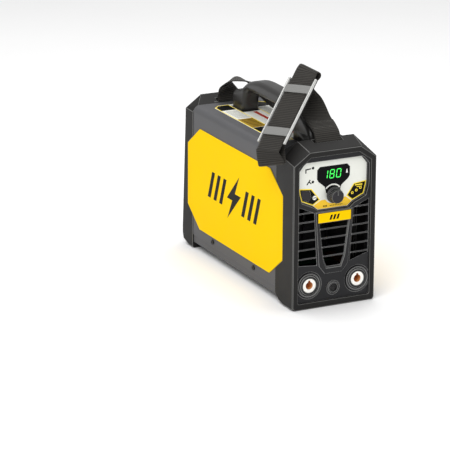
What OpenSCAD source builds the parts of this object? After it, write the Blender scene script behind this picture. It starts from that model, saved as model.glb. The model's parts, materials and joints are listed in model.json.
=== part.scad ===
// Stick welding inverter: sheet metal case between two moulded end frames,
// louvred front with display and knob, carrying handle and shoulder strap.
// Millimetres, +Z up, front towards -Y. The origin is on the ground, at the
// middle of the flat underside of the front frame. Depths in the modules count
// back from the front rim, and from_front() moves them into place.

/* [Case] */
// Width over the end frames
body_w = 153; // [152:0.5:156]
// Length from front rim to rear rim
body_l = 403; // [395:1:415]
// Height of the end rims
body_h = 268; // [266:0.5:272]
// Face width of the end rims
rim_w = 10; // [9:0.5:11]
// Depth of the front frame along the side
front_frame_l = 62; // [60:1:64]
// Depth of the rear frame along the side
rear_frame_l = 29; // [28:1:30]
// Sheet thickness of the cover and tray
sheet_t = 1.2; // [1:0.1:1.5]

/* [Front] */
// Height of the knob and encoder axis
knob_z = 189.5; // [188:0.5:191]
// Radius of the knob skirt
knob_r = 13.6; // [12:0.2:14]
// Distance of each welding socket from the middle
socket_x = 44.7; // [44:0.1:45]
// Height of the welding socket axes
socket_z = 40.5; // [40:0.5:42]
// Bore radius of a welding socket
socket_r = 6.55; // [6.5:0.05:6.7]
// Depth of a welding socket bore
socket_depth = 24; // [20:1:25]
// Height of the remote connector axis
remote_z = 31; // [30:0.5:32]
// Pitch of the louvre slats
slat_pitch = 15.65; // [15:0.05:16]

/* [Handle] */
// Width of the handle
handle_w = 32; // [28:1:36]
// Height of the top of the handle
handle_top = 322; // [318:1:326]
// Thickness of the grip
grip_t = 24; // [20:1:26]

/* [Strap] */
// Width of the webbing
strap_w = 46; // [40:1:46]
// Thickness of the webbing
strap_t = 1.8; // [1.5:0.1:2]
// Length of the sliding shoulder pad
pad_l = 128; // [110:1:130]
// Width of the shoulder pad
pad_w = 57; // [54:1:60]

/* [Fan] */
// Side of the square fan frame
fan_side = 119; // [116:1:120]
// Radius of the blade tips
fan_tip_r = 55; // [50:1:55]
// Number of blades
fan_blades = 7; // [5:1:9]

/* [Hidden] */
$fn = 48;
eps = 0.01;
half_w = body_w / 2;
plate_t = 1.5;
plate_proud = 0.3;
recess_t = plate_t - plate_proud;
cover_x = half_w - recess_t;
cover_top = body_h - 11;
cover_low = 26;
cover_r = 11;
cover_y0 = front_frame_l + 0.4;
cover_y1 = body_l - rear_frame_l - 0.4;
tray_x = cover_x - sheet_t - 0.1;
tray_low = 12;
tray_high = 44;
screw_z = 34;
screw_ys = [142, 296];
rim_cut_x = 28.5;
rim_cut_z = 20.5;
ridge_y = 36;
rim_round = 1.5;
rear_lean = 12;
foot_y = (rim_round + ridge_y) / 2;
ridge_rise = 10;
frame_wall = 3;
rim_depth = 12;
panel_y = 3;
overlay_y = 8.9;
overlay_t = 0.6;
plate_back = 12.5;
flange_back = 14.5;
board_y = 20;
board_t = 1.6;
knob_front = -10;
knob_skirt_y = 1.7;
shaft_front = -6.5;
fan_z = 92;
fan_t = 25;
rear_plate_y0 = body_l - 8.5;
rear_plate_y1 = body_l - 5.5;
switch_z = 215;
switch_x = -30;
gland_x = 34;
gland_z = 205;
cable_r = 4.5;
front_pin = [29.5, body_h + 2];
rear_pin = [body_l - 19.5, body_h - 11.5];
strap_pin_r = 2;
strap_pin_x = 31;
slot_x = 26.5;
lip_wall = 2.4;
// Side plate outline
plate_y0 = 37.5;
plate_y1 = body_l - 11;
plate_z0 = 42.7;
plate_z1 = 222.8;
plate_cut_y = 46;
plate_cut_z = 35;
// Handle opening, ends and screws
handle_front_y = 124;
handle_rear_y = 301;
handle_end_y = 346;
handle_screw_ys = [92, 324];
opening_z = handle_top - grip_t;
opening_r = 18;
// Front moulding, its screws and the raised ribs on it
panel_x = half_w - rim_w - 0.2;
panel_z0 = rim_w + 1.2;
panel_z1 = body_h - rim_w - 0.2;
rib_y = panel_y - 1.5;
boss_back = 8;
front_screw_points = [[-69.5, 20], [69.5, 20], [-69.5, 150], [69.5, 150]];
board_points = [[-55, 176.5], [55, 176.5], [-52, 243], [52, 243]];
slat_top_z = 165;
slat_count = 6;
slat_t = 2.2;
slat_tilt = 12;
socket_front = 1.6;
// Power electronics
deck_z = 50;
standoff_points = [[-56, 84], [56, 84], [-56, 210], [56, 210], [-56, 336], [56, 336]];
// Fan, switch and rear plate
fan_hole_d = 52.5;
fan_holes = [for (x = [-fan_hole_d, fan_hole_d], z = [-fan_hole_d, fan_hole_d]) [x, z]];
fan_back = rear_plate_y0 - fan_t;
rear_screw_zs = [36, 170];
rear_screw_points = [for (x = [-63.5, 63.5], z = rear_screw_zs) [x, z]];
rocker_y = rear_plate_y1 - 2;
rocker_rest = 12;
rocker_pin_r = 1.2;
// Mains lead, wound in a hank behind the case
hank_x = 5;
hank_z = 105;
hank_w = 34;
hank_h = 46;
hank_y = body_l + 17;
hank_turns = 2.875;
hank_pitch = 9.6;
plug_bend_r = 12;
plug_z = 152;
// Strap folds and the pad on its straight run
strap_steps = 3;
low_fold_r = 5;
high_fold_r = 6;
pad_s = 40;
pad_gap = 0.35;
pad_t = 2.2;
bridge_l = 15;
bridge_in = 22;
bridge_t = 1.6;
frame_grey = [0.24, 0.24, 0.25];
metal_grey = [0.33, 0.33, 0.35];
black = [0.06, 0.06, 0.06];
yellow = [1, 0.86, 0];
copper = [0.72, 0.45, 0.2];
steel = [0.7, 0.7, 0.72];

// ---------- placing and shared shapes ----------
module from_front() translate([0, -foot_y, 0]) children();

// Extrudes an outline of (x, z) points between two depths
module across(y0, y1) translate([0, y1, 0]) rotate([90, 0, 0]) linear_extrude(y1 - y0) children();

// Extrudes an outline of (y, z) points between two sideways positions
module along_x(x0, x1) translate([x0, 0, 0]) rotate([90, 0, 90]) linear_extrude(x1 - x0) children();

// A round bar along Y, between two depths
module rod_y(x, z, r, y0, y1) translate([x, y1, z]) rotate([90, 0, 0]) cylinder(r = r, h = y1 - y0);

// A round bar along X, between two sideways positions
module rod_x(y, z, r, x0, x1) translate([x0, y, z]) rotate([0, 90, 0]) cylinder(r = r, h = x1 - x0);

module box(x0, x1, y0, y1, z0, z1) translate([x0, y0, z0]) cube([x1 - x0, y1 - y0, z1 - z0]);

module both_sides() {
  children();
  mirror([1, 0, 0]) children();
}

// End frame outline: side, foot and top heights, top corner cut and foot corner
function frame_outline(w, z0, z1, cx, cz, foot = 3.5) = [
  [-w + foot, z0], [w - foot, z0], [w, z0 + foot], [w, z1 - cz],
  [w - cx, z1], [-w + cx, z1], [-w, z1 - cz], [-w, z0 + foot]];

// Thin slice of an end frame, for the hull of its outside
module slice(y, w, z0, z1, cx, cz) across(y, y + eps) polygon(frame_outline(w, z0, z1, cx, cz));

// Side plate outline, grown all round by g
function plate_outline(g) = [
  [plate_y0 + plate_cut_y, plate_z0 - g], [plate_y1 - plate_cut_y, plate_z0 - g],
  [plate_y1 + g, plate_z0 + plate_cut_z], [plate_y1 + g, plate_z1 - plate_cut_z],
  [plate_y1 - plate_cut_y, plate_z1 + g], [plate_y0 + plate_cut_y, plate_z1 + g],
  [plate_y0 - g, plate_z1 - plate_cut_z], [plate_y0 - g, plate_z0 + plate_cut_z]];

// Block with two rounded top edges, as the bent cover
module arched_block(x, z0, z1, r, y0, y1) {
  box(-x, x, y0, y1, z0, z1 - r);
  box(-x + r, x - r, y0, y1, z0, z1);
  both_sides() rod_y(x - r, z1 - r, r, y0, y1);
}

// Pan head screw along an outward direction, head seat at the origin, shank towards -Z
module screw(r, head_r, head_h, l) {
  difference() {
    cylinder(r = head_r, h = head_h);
    translate([0, 0, head_h * 0.45]) cylinder(r = head_r * 0.45, h = head_h, $fn = 6);
  }
  translate([0, 0, -l]) cylinder(r = r, h = l + eps);
}

// ---------- case ----------
module base_tray() color(metal_grey) from_front() difference() {
  box(-tray_x, tray_x, cover_y0, cover_y1, tray_low, tray_high);
  box(-tray_x + sheet_t, tray_x - sheet_t, cover_y0 - 1, cover_y1 + 1, tray_low + sheet_t, 60);
  for (y = screw_ys) rod_x(y, screw_z, 2, -half_w, half_w);
  for (p = standoff_points) translate([p[0], p[1], tray_low - 1]) cylinder(r = 1.7, h = 4);
}

module top_cover() color(metal_grey) from_front() difference() {
  arched_block(cover_x, cover_low, cover_top, cover_r, cover_y0, cover_y1);
  arched_block(cover_x - sheet_t, cover_low - 1, cover_top - sheet_t, cover_r - sheet_t,
    cover_y0 - 1, cover_y1 + 1);
  for (y = screw_ys) rod_x(y, screw_z, 2.2, -half_w, half_w);
  for (y = handle_screw_ys) translate([0, y, cover_top - 5]) cylinder(r = 2.7, h = 10);
}

module front_frame_outside() hull() {
  slice(0, half_w - 1.3, 1.3, body_h - 1.3, rim_cut_x - 0.3, rim_cut_z - 0.3);
  slice(rim_round, half_w, 0, body_h, rim_cut_x, rim_cut_z);
  slice(ridge_y, half_w, 0, body_h + ridge_rise, 24.5, 25);
  slice(49, half_w, 3.3, body_h - 10, 24, 16);
  slice(front_frame_l - eps, half_w, 11.5, body_h - 11.5, 9, 9);
}

// The lip that fits inside the cover and tray
module frame_lip(y0, y1) difference() {
  across(y0, y1) polygon(frame_outline(tray_x - sheet_t - 0.15, tray_low + sheet_t + 0.4,
    cover_top - sheet_t - 0.3, 10, 10, 2));
  across(y0 - 1, y1 + 1) polygon(frame_outline(tray_x - sheet_t - lip_wall, 17,
    cover_top - sheet_t - lip_wall, 9, 9, 2));
}

module front_bezel() color(frame_grey) from_front() difference() {
  union() {
    difference() {
      front_frame_outside();
      across(-1, rim_depth + 1) polygon(frame_outline(half_w - rim_w, rim_w + 1, body_h - rim_w,
        21.7, 15.6, 2));
      across(rim_depth, 34) polygon(frame_outline(half_w - frame_wall, frame_wall, body_h - 4,
        21, 16.5, 2));
      across(34 - eps, front_frame_l + 1) polygon(frame_outline(half_w - frame_wall, 14.5,
        body_h - 14.5, 7, 7, 2));
    }
    frame_lip(front_frame_l - 3, front_frame_l + 12);
    box(-half_w + 2.5, half_w - 2.5, front_frame_l - 3, front_frame_l, 14, 17);
    both_sides() box(tray_x - 5, half_w - 2.5, front_frame_l - 3, front_frame_l, 15, body_h - 22);
  }
  both_sides() along_x(half_w - recess_t, half_w + 1) polygon(plate_outline(0.3));
  box(-slot_x, slot_x, 24.5, 35, body_h - 6, body_h + 20);
  rod_x(front_pin[0], front_pin[1], strap_pin_r, -strap_pin_x, strap_pin_x);
  for (p = front_screw_points) rod_y(p[0], p[1], 1.3, 3, rim_depth + 1);
}

// The rear frame leans back towards its foot
module rear_frame_outside() hull() {
  slice(body_l - rear_frame_l, half_w, 0, body_h - 11, 10, 10);
  slice(body_l - 12, half_w, 0, body_h - 12, 28, 12);
  slice(body_l + rear_lean - 5, half_w, 5.5, 40, 2, 2);
  slice(body_l + rear_lean - 1.5, half_w, 14.5, 34, 2, 2);
  slice(body_l + rear_lean - eps, half_w - 1.3, 18.5, 33, 2, 2);
  slice(body_l - 1.5, half_w, 14.5, body_h, rim_cut_x, rim_cut_z);
  slice(body_l - eps, half_w - 1.3, 18.5, body_h - 1.3, rim_cut_x - 0.3, rim_cut_z - 0.3);
}

module rear_bezel() color(frame_grey) from_front() difference() {
  union() {
    difference() {
      rear_frame_outside();
      across(body_l - rear_frame_l - 1, body_l - 15) polygon(frame_outline(half_w - frame_wall,
        14.5, body_h - 14.5, 9, 9, 2));
      across(body_l - 15 - eps, rear_plate_y1) polygon(frame_outline(70, 21.5, body_h - 14.5,
        20, 14, 2));
      across(rear_plate_y1 - eps, body_l + rear_lean + 1) polygon(frame_outline(half_w - rim_w, 26,
        body_h - 18, 19, 13.5, 2));
    }
    frame_lip(body_l - rear_frame_l - 12, body_l - rear_frame_l + 3);
    box(-half_w + 2.5, half_w - 2.5, body_l - rear_frame_l, body_l - rear_frame_l + 3, 14, 17);
    both_sides() box(tray_x - 5, half_w - 2.5, body_l - rear_frame_l,
      body_l - rear_frame_l + 3, 15, body_h - 22);
    both_sides() box(slot_x, strap_pin_x + 2, rear_pin[0] - 6, rear_pin[0] + 6, rear_pin[1] - 6,
      rear_pin[1] + 2.5);
    both_sides() for (z = rear_screw_zs) box(60.2, 71, body_l - 15, rear_plate_y0, z - 4, z + 4);
  }
  for (p = rear_screw_points) rod_y(p[0], p[1], 1.3, body_l - 16, rear_plate_y1);
  both_sides() along_x(half_w - recess_t, half_w + 1) polygon(plate_outline(0.3));
  box(-slot_x, slot_x, rear_pin[0] - 4.6, rear_pin[0] + 4.6, body_h - 20, body_h + 5);
  rod_x(rear_pin[0], rear_pin[1], strap_pin_r, -strap_pin_x, strap_pin_x);
}

module side_plate() {
  along_x(half_w - recess_t, half_w + plate_proud) polygon(plate_outline(0));
}

module side_plate_left() color(yellow) from_front() mirror([1, 0, 0]) side_plate();

module side_plate_right() color(yellow) from_front() side_plate();

module strap_pins() color(steel) from_front() for (p = [front_pin, rear_pin])
  rod_x(p[0], p[1], strap_pin_r, -strap_pin_x, strap_pin_x);

module cover_screws() color(black) from_front() both_sides() for (y = screw_ys)
  translate([cover_x, y, screw_z]) rotate([0, 90, 0]) screw(1.95, 4.2, 2, 7);

module top_label() color([0.9, 0.9, 0.85]) from_front() difference() {
  box(-49, 49, 112, 355, cover_top, cover_top + 0.3);
  box(-handle_w / 2 - 1, handle_w / 2 + 1, handle_rear_y - 1, handle_end_y + 1,
    cover_top - 1, cover_top + 2);
  box(-handle_w / 2 - 1, handle_w / 2 + 1, 0, handle_front_y + 1, cover_top - 1, cover_top + 2);
  both_sides() translate([49, 355, cover_top - 1]) rotate([0, 0, 45]) cube([16, 16, 4], center = true);
}

// ---------- handle ----------
// Top line of the handle, from the rear end to the front end
handle_line = [[handle_end_y, cover_top], [handle_end_y, cover_top + 22], [handle_end_y - 6, cover_top + 30],
  [319, handle_top - 31], [301, handle_top - 16], [281, handle_top - 6], [262, handle_top - 1],
  [245, handle_top], [190, handle_top],
  [150, handle_top - 2], [112, handle_top - 10], [84, handle_top - 22], [66, handle_top - 38],
  [59, cover_top + 12], [64, cover_top]];

module handle() color(frame_grey) from_front() difference() {
  along_x(-handle_w / 2, handle_w / 2) polygon(handle_line);
  box(-20, 20, handle_front_y, handle_rear_y, cover_top - 1, opening_z - opening_r);
  box(-20, 20, handle_front_y + opening_r, handle_rear_y - opening_r, cover_top - 1, opening_z);
  for (y = [handle_front_y + opening_r, handle_rear_y - opening_r])
    rod_x(y, opening_z - opening_r, opening_r, -20, 20);
  for (y = handle_screw_ys) translate([0, y, cover_top - 1]) cylinder(r = 2.5, h = 20);
}

module handle_screws() color(steel) from_front() for (y = handle_screw_ys)
  translate([0, y, cover_top - sheet_t]) mirror([0, 0, 1]) screw(2.45, 5, 3, 16);

// ---------- front panel and controls ----------
// Outline of the control overlay, grown all round by g
function overlay_outline(g) = let(right = [
  [52.5 + 0.4 * g, 247.5 + g], [62.5 + g, 235.4 + 0.4 * g], [62.5 + g, 206],
  [61.5 + g, 198 - 0.2 * g], [57.8 + 0.6 * g, 183.3 - 0.8 * g], [36.5 + 0.5 * g, 174 - g],
  [27.5 + 0.4 * g, 166.3 - g]])
  concat(right, [for (i = [len(right) - 1:-1:0]) [-right[i][0], right[i][1]]]);

// Outline of the display window, grown all round by g
function window_outline(g) = [
  [31 + g, 233 + 0.4 * g], [26 + 0.4 * g, 238 + g], [-24 - 0.4 * g, 238 + g],
  [-29 - g, 233 + 0.4 * g], [-29 - g, 218], [-26.5 - g, 213.5 - g / 2], [-14.5 - g, 203.5],
  [-12 - g, 192], [12 + g, 192], [15.5 + g, 203.5], [28 + g, 213.5 - g / 2], [31 + g, 218]];

// Outline of the mode button, grown all round by g
function button_outline(g) = [
  [-58 - g, 201 + g], [-43 + g, 200.3 + g], [-39.5 + g, 189], [-44 + g, 182 - g],
  [-55.5 - g / 2, 186 - g], [-58 - g, 196]];

left_vent = [[-64.5, 76], [-64.5, 175.5], [-56, 172], [-36.5, 163], [-30.5, 73]];
right_vent = [[64.5, 84], [64.5, 175.5], [56, 172], [36.5, 163], [30.5, 73]];
middle_vent = [[-26.5, 144], [26.5, 144], [19, 85], [13, 69], [-13, 69], [-19, 85]];

module louvre(outline) intersection() {
  across(panel_y - 0.5, plate_back) polygon(outline);
  for (i = [0:slat_count - 1]) translate([0, panel_y - 0.5, slat_top_z - i * slat_pitch])
    rotate([-slat_tilt, 0, 0]) box(-half_w, half_w, 0, 12, -slat_t / 2, slat_t / 2);
}

// Raised rib of one side of the shield between the louvres
shield_rib = [[-33.5, 163], [-28.5, 163], [-28.5, 144], [-20.5, 84], [-14, 66], [0, 66],
  [0, 57], [-16, 57], [-26.5, 71]];

module front_panel() color([0.1, 0.1, 0.1]) from_front() difference() {
  union() {
    difference() {
      union() {
        difference() {
          across(panel_y, panel_y + 2.5) polygon(panel_outline(0));
          across(0, 9) polygon(overlay_outline(2));
        }
        difference() {
          across(panel_y, plate_back) polygon(panel_outline(0));
          across(0, 20) polygon(panel_outline(2));
        }
        intersection() {
          across(panel_y, plate_back) polygon(panel_outline(0));
          difference() {
            across(panel_y, plate_back) polygon(overlay_outline(3.8));
            across(0, 20) polygon(overlay_outline(2));
          }
        }
        intersection() {
          across(overlay_y + overlay_t, plate_back) polygon(panel_outline(0));
          across(overlay_y + overlay_t, plate_back) polygon(overlay_outline(3));
        }
        difference() {
          across(rim_depth, flange_back) polygon(frame_outline(panel_x + 5.7, 5, body_h - 8, 22, 16, 2));
          across(0, 20) polygon(panel_outline(3));
        }
        intersection() {
          across(panel_y, boss_back) polygon(panel_outline(0));
          both_sides() rod_y(socket_x, socket_z, 26, panel_y, boss_back);
        }
        rod_y(0, remote_z, 14, panel_y, 7);
      }
      for (v = [left_vent, right_vent, middle_vent]) across(0, 20) polygon(v);
    }
    for (v = [left_vent, right_vent, middle_vent]) louvre(v);
    both_sides() across(rib_y, panel_y + 2) polygon(shield_rib);
    box(-31, 31, rib_y, panel_y + 1, 144.3, 162.7);
    for (p = board_points) rod_y(p[0], p[1], 3.5, plate_back - 0.5, board_y);
  }
  across(0, 20) polygon([[-18.3, 213.2], [20.3, 213.2], [20.3, 237.3], [-18.3, 237.3]]);
  rod_y(0, knob_z, 3.7, 0, 20);
  across(0, 20) polygon(button_outline(0.3));
  both_sides() rod_y(socket_x, socket_z, 23.3, 0, 4.5);
  both_sides() rod_y(socket_x, socket_z, 16.2, 0, 20);
  rod_y(0, remote_z, 12.3, 0, 4.3);
  rod_y(0, remote_z, 8.5, 0, 20);
  for (p = front_screw_points) rod_y(p[0], p[1], 1.7, 0, 20);
  for (p = board_points) rod_y(p[0], p[1], 1.2, plate_back + 1, board_y + 1);
}

function panel_outline(g) = frame_outline(panel_x - g, panel_z0 + g, panel_z1 - g, 21.7, 15.6, 2);

module front_panel_screws() color(steel) from_front() for (p = front_screw_points)
  translate([p[0], flange_back, p[1]]) rotate([-90, 0, 0]) screw(1.25, 3, 1.6, 9);

module control_overlay() color([0.92, 0.92, 0.9]) from_front() difference() {
  across(overlay_y, overlay_y + overlay_t) polygon(overlay_outline(0));
  across(0, 20) polygon(window_outline(0.1));
  across(0, 20) polygon(button_outline(0.3));
  rod_y(0, knob_z, 6.5, 0, 20);
}

module display_window() color([0.05, 0.05, 0.05]) from_front() difference() {
  across(overlay_y - 0.6, overlay_y + overlay_t - 0.05) polygon(window_outline(0));
  rod_y(0, knob_z, knob_r + 0.6, 0, 20);
}

module display_module() color([0.1, 0.3, 0.1]) from_front() box(-17.5, 19.5, overlay_y + overlay_t,
  board_y, 214, 236.5);

module current_knob() color(black) from_front() difference() {
  union() {
    rod_y(0, knob_z, 10, knob_skirt_y + 3, 8.3);
    rod_y(0, knob_z, knob_r, knob_skirt_y, knob_skirt_y + 3.1);
    rod_y(0, knob_z, 11.5, knob_front + 1, knob_skirt_y + 0.1);
    rod_y(0, knob_z, 10.6, knob_front, knob_front + 2);
  }
  rod_y(0, knob_z, 3, shaft_front, 20);
  rod_y(0, knob_z, 7.2, 4.6, 20);
  for (a = [0:30:330]) rotate_about_knob(a) rod_y(0, knob_z + 13.1, 2.2, knob_front - 1, knob_skirt_y);
  rotate_about_knob(0) box(-0.7, 0.7, knob_front - 1, knob_front + 0.8, knob_z + 3, knob_z + 9.5);
}

module rotate_about_knob(a) translate([0, 0, knob_z]) rotate([0, a, 0]) translate([0, 0, -knob_z])
  children();

module encoder_shaft() color(steel) from_front() rod_y(0, knob_z, 3, shaft_front, 17.9);

module encoder_body() color(steel) from_front() difference() {
  union() {
    rod_y(0, knob_z, 3.5, 6.6, 15);
    box(-6.2, 6.2, 13.5, board_y, knob_z - 6.5, knob_z + 6.5);
  }
  rod_y(0, knob_z, 3.05, 0, 18);
}

module encoder_nut() color(steel) from_front() difference() {
  translate([0, overlay_y + overlay_t, knob_z]) rotate([90, 0, 0]) cylinder(r = 5.6, h = 2, $fn = 6);
  rod_y(0, knob_z, 3.5, 0, 20);
}

module mode_button() color(black) from_front() {
  across(overlay_y - 1, plate_back + 0.2) polygon(button_outline(0));
  across(plate_back + 0.1, plate_back + 0.9) polygon(button_outline(1.2));
}

module mode_switch() color(black) from_front() {
  rod_y(-50, 192, 1.7, 14.3, 17);
  box(-53, -47, 16.5, board_y, 189, 195);
}

module control_board() color([0.05, 0.3, 0.12]) from_front() {
  difference() {
    across(board_y, board_y + board_t) polygon(frame_outline(59, 171, 249, 14, 12, 2));
    for (p = board_points) rod_y(p[0], p[1], 1.4, 10, 30);
  }
  for (c = [[-30, 225, 9], [14, 186, 7], [34, 214, 6]])
    box(c[0] - c[2], c[0] + c[2], board_y + board_t - eps, board_y + board_t + 1.8,
      c[1] - c[2], c[1] + c[2]);
  for (x = [-40, 8, 36]) box(x - 8, x + 8, board_y + board_t - eps, board_y + 10, 173, 179);
}

module board_screws() color(steel) from_front() for (p = board_points)
  translate([p[0], board_y + board_t, p[1]]) rotate([-90, 0, 0]) screw(1.15, 2.6, 1.6, 7.5);

module badge_plate() color(yellow) from_front() box(-30, 30, rib_y - 1.5, rib_y, 145.5, 161.5);

// ---------- sockets ----------
module socket_insulator() difference() {
  union() {
    rod_y(socket_x, socket_z, 20.5, 1.4, 4.5);
    rod_y(socket_x, socket_z, 16, 0.6, 18);
  }
  rod_y(socket_x, socket_z, 12, 0, 20);
  difference() {
    rod_y(socket_x, socket_z, 18.9, 0, 2.2);
    rod_y(socket_x, socket_z, 16, -1, 3);
  }
}

module socket_contact() difference() {
  union() {
    rod_y(socket_x, socket_z, 12, socket_front, 29);
    rod_y(socket_x, socket_z, 5, 29 - eps, 44);
  }
  rod_y(socket_x, socket_z, socket_r, 0, socket_front + socket_depth);
  box(socket_x - 2, socket_x + 2, 0, socket_front + socket_depth, socket_z + 4, socket_z + socket_r + 2.2);
}

module socket_insulator_left() color(black) from_front() mirror([1, 0, 0]) socket_insulator();

module socket_insulator_right() color(black) from_front() socket_insulator();

module socket_contact_left() color(copper) from_front() mirror([1, 0, 0]) socket_contact();

module socket_contact_right() color(copper) from_front() socket_contact();

module socket_nuts() color(black) from_front() both_sides() difference() {
  translate([socket_x, 12, socket_z]) rotate([90, 0, 0]) cylinder(r = 19, h = 4, $fn = 8);
  rod_y(socket_x, socket_z, 16, 0, 20);
}

module remote_connector() color(black) from_front() difference() {
  union() {
    rod_y(0, remote_z, 11.6, 2.4, 4.3);
    rod_y(0, remote_z, 9.3, 0.8, 3);
    rod_y(0, remote_z, 8.3, 4, 20);
  }
  rod_y(0, remote_z, 7.2, 0, 21);
}

module remote_insert() color([0.15, 0.15, 0.15]) from_front() difference() {
  rod_y(0, remote_z, 7.2, 3.4, 19);
  for (a = [0:60:300]) rod_y(4.3 * cos(a), remote_z + 4.3 * sin(a), 0.9, 3, 12);
  rod_y(0, remote_z, 0.9, 3, 12);
}

module remote_nut() color(steel) from_front() difference() {
  translate([0, 9.6, remote_z]) rotate([90, 0, 0]) cylinder(r = 11.8, h = 2.6, $fn = 6);
  rod_y(0, remote_z, 8.3, 0, 20);
}

// ---------- power electronics ----------
module board_standoffs() color(steel) from_front() for (p = standoff_points)
  translate([p[0], p[1], tray_low + sheet_t]) cylinder(r = 3.5, h = deck_z - tray_low - sheet_t);

module power_board() color([0.05, 0.3, 0.12]) from_front()
  box(-64, 64, 78, 344, deck_z, deck_z + 2);

module heatsink(x0, x1) {
  box(x0, x1, 130, 240, 118, 124);
  for (i = [0:7]) box(x0 + i * 6.8, x0 + i * 6.8 + 2.4, 130, 240, 124 - eps, 160);
  for (y = [134, 232]) box(x0 + 1, x0 + 5, y, y + 4, deck_z + 2, 118 + eps);
  for (y = [134, 232]) box(x1 - 5, x1 - 1, y, y + 4, deck_z + 2, 118 + eps);
}

module heatsinks() color([0.75, 0.76, 0.78]) from_front() {
  heatsink(-62, -12);
  heatsink(12, 62);
}

module power_transistors() color(black) from_front() for (y = [142, 164, 186, 208])
  box(-46, -30, y, y + 16, 112.8, 118);

module output_diodes() color(black) from_front() for (y = [142, 164, 186, 208])
  box(30, 46, y, y + 16, 112.8, 118);

module bridge_rectifier() color([0.2, 0.2, 0.22]) from_front() difference() {
  box(-14, 14, 296, 324, deck_z + 2, deck_z + 12);
  translate([0, 310, deck_z]) cylinder(r = 2.6, h = 20);
}

module input_capacitors() color([0.15, 0.17, 0.3]) from_front()
  for (p = [[-42, 272], [-42, 312], [42, 312]])
  translate([p[0], p[1], deck_z + 2]) {
    cylinder(r = 17, h = 48);
    cylinder(r = 15.5, h = 50);
  }

module transformer_core() color([0.2, 0.2, 0.2]) from_front() difference() {
  box(2, 58, 138, 200, deck_z + 2, deck_z + 54);
  for (y = [150, 175]) box(1, 59, y, y + 13, deck_z + 12, deck_z + 44);
}

module transformer_windings() color(copper) from_front() difference() {
  box(-3, 63, 150.5, 187.5, deck_z + 12.5, deck_z + 43.5);
  box(1.8, 58.2, 162.8, 175.2, deck_z, deck_z + 60);
}

module output_choke() color(copper) from_front() translate([-34, 113, deck_z + 16])
  rotate([90, 0, 0]) rotate_extrude() polygon(ring_profile(6, 13.5, 11));

// Rounded rectangular ring section from an inner to an outer radius
function ring_profile(r0, r1, h) = [[r0, -h + 2], [r0 + 2, -h], [r1 - 2, -h], [r1, -h + 2],
  [r1, h - 2], [r1 - 2, h], [r0 + 2, h], [r0, h - 2]];

module output_busbars() color(copper) from_front() both_sides() {
  box(socket_x - 9, socket_x + 9, 44, 47, socket_z - 9, deck_z + 8);
  box(socket_x - 9, socket_x + 9, 44, 100, deck_z + 5, deck_z + 8);
  box(socket_x - 6, socket_x + 6, 88, 100, deck_z + 2, deck_z + 6);
}

// ---------- rear ----------
module rear_panel() color([0.1, 0.1, 0.1]) from_front() difference() {
  across(rear_plate_y0, rear_plate_y1) polygon(frame_outline(69.7, 21.8, body_h - 14.8, 19.8, 13.8, 2));
  for (i = [-5:5]) intersection() {
    rod_y(0, fan_z, 54, 380, 420);
    difference() {
      box(-60, 60, 380, 420, fan_z + i * 9.6 - 3, fan_z + i * 9.6 + 3);
      box(-2, 2, 380, 420, 0, 200);
    }
  }
  for (p = fan_holes) rod_y(p[0], fan_z + p[1], 2.2, 380, 420);
  for (p = rear_screw_points) rod_y(p[0], p[1], 1.7, 380, 420);
  box(switch_x - 13.6, switch_x + 13.6, 380, 420, switch_z - 10.6, switch_z + 10.6);
  rod_y(gland_x, gland_z, 10, 380, 420);
}

module rear_panel_screws() color(steel) from_front() for (p = rear_screw_points)
  translate([p[0], rear_plate_y1, p[1]]) rotate([-90, 0, 0]) screw(1.25, 2.6, 1.8, 8);

module fan_frame() color(black) from_front() difference() {
  union() {
    difference() {
      box(-fan_side / 2, fan_side / 2, fan_back, rear_plate_y0, fan_z - fan_side / 2, fan_z + fan_side / 2);
      rod_y(0, fan_z, fan_tip_r + 1.5, 0, 500);
    }
    rod_y(0, fan_z, 19, fan_back, fan_back + 4);
    for (a = [45:90:315]) translate([0, 0, fan_z]) rotate([0, a, 0])
      box(15, fan_tip_r + 2.5, fan_back, fan_back + 3, -2, 2);
    rod_y(0, fan_z, 1.5, fan_back + 2, fan_back + 20);
  }
  for (p = fan_holes) rod_y(p[0], fan_z + p[1], 2, 0, 500);
}

module fan_rotor() color(black) from_front() difference() {
  union() {
    rod_y(0, fan_z, 18.5, fan_back + 5, rear_plate_y0 - 2);
    intersection() {
      for (i = [0:fan_blades - 1]) translate([0, 0, fan_z]) rotate([0, i * 360 / fan_blades, 0])
        translate([0, fan_back + 14, 0]) rotate([38, 0, 0]) box(16, fan_tip_r + 2, -1, 1, -12, 12);
      difference() {
        rod_y(0, fan_z, fan_tip_r, fan_back + 5, rear_plate_y0 - 3);
        rod_y(0, fan_z, 17, 0, 500);
      }
    }
  }
  rod_y(0, fan_z, 1.55, 0, fan_back + 21);
}

module fan_screws() color(steel) from_front() for (p = fan_holes)
  translate([p[0], rear_plate_y1, fan_z + p[1]]) rotate([-90, 0, 0]) screw(1.95, 3.8, 2, 20);

module power_switch() color(black) from_front() difference() {
  union() {
    box(switch_x - 15.5, switch_x + 15.5, rear_plate_y1, rear_plate_y1 + 2, switch_z - 12.5,
      switch_z + 12.5);
    box(switch_x - 13.5, switch_x + 13.5, rear_plate_y1 - 26, rear_plate_y1 + 1, switch_z - 10.5,
      switch_z + 10.5);
    for (z = [-5, 5]) box(switch_x - 3, switch_x + 3, rear_plate_y1 - 34, rear_plate_y1 - 25,
      switch_z + z - 0.4, switch_z + z + 0.4);
  }
  box(switch_x - 11.5, switch_x + 11.5, rear_plate_y1 - 12, 500, switch_z - 8.5, switch_z + 8.5);
  translate([switch_x, rocker_y, switch_z]) cylinder(r = rocker_pin_r + 0.05, h = 19.6, center = true);
}

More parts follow.
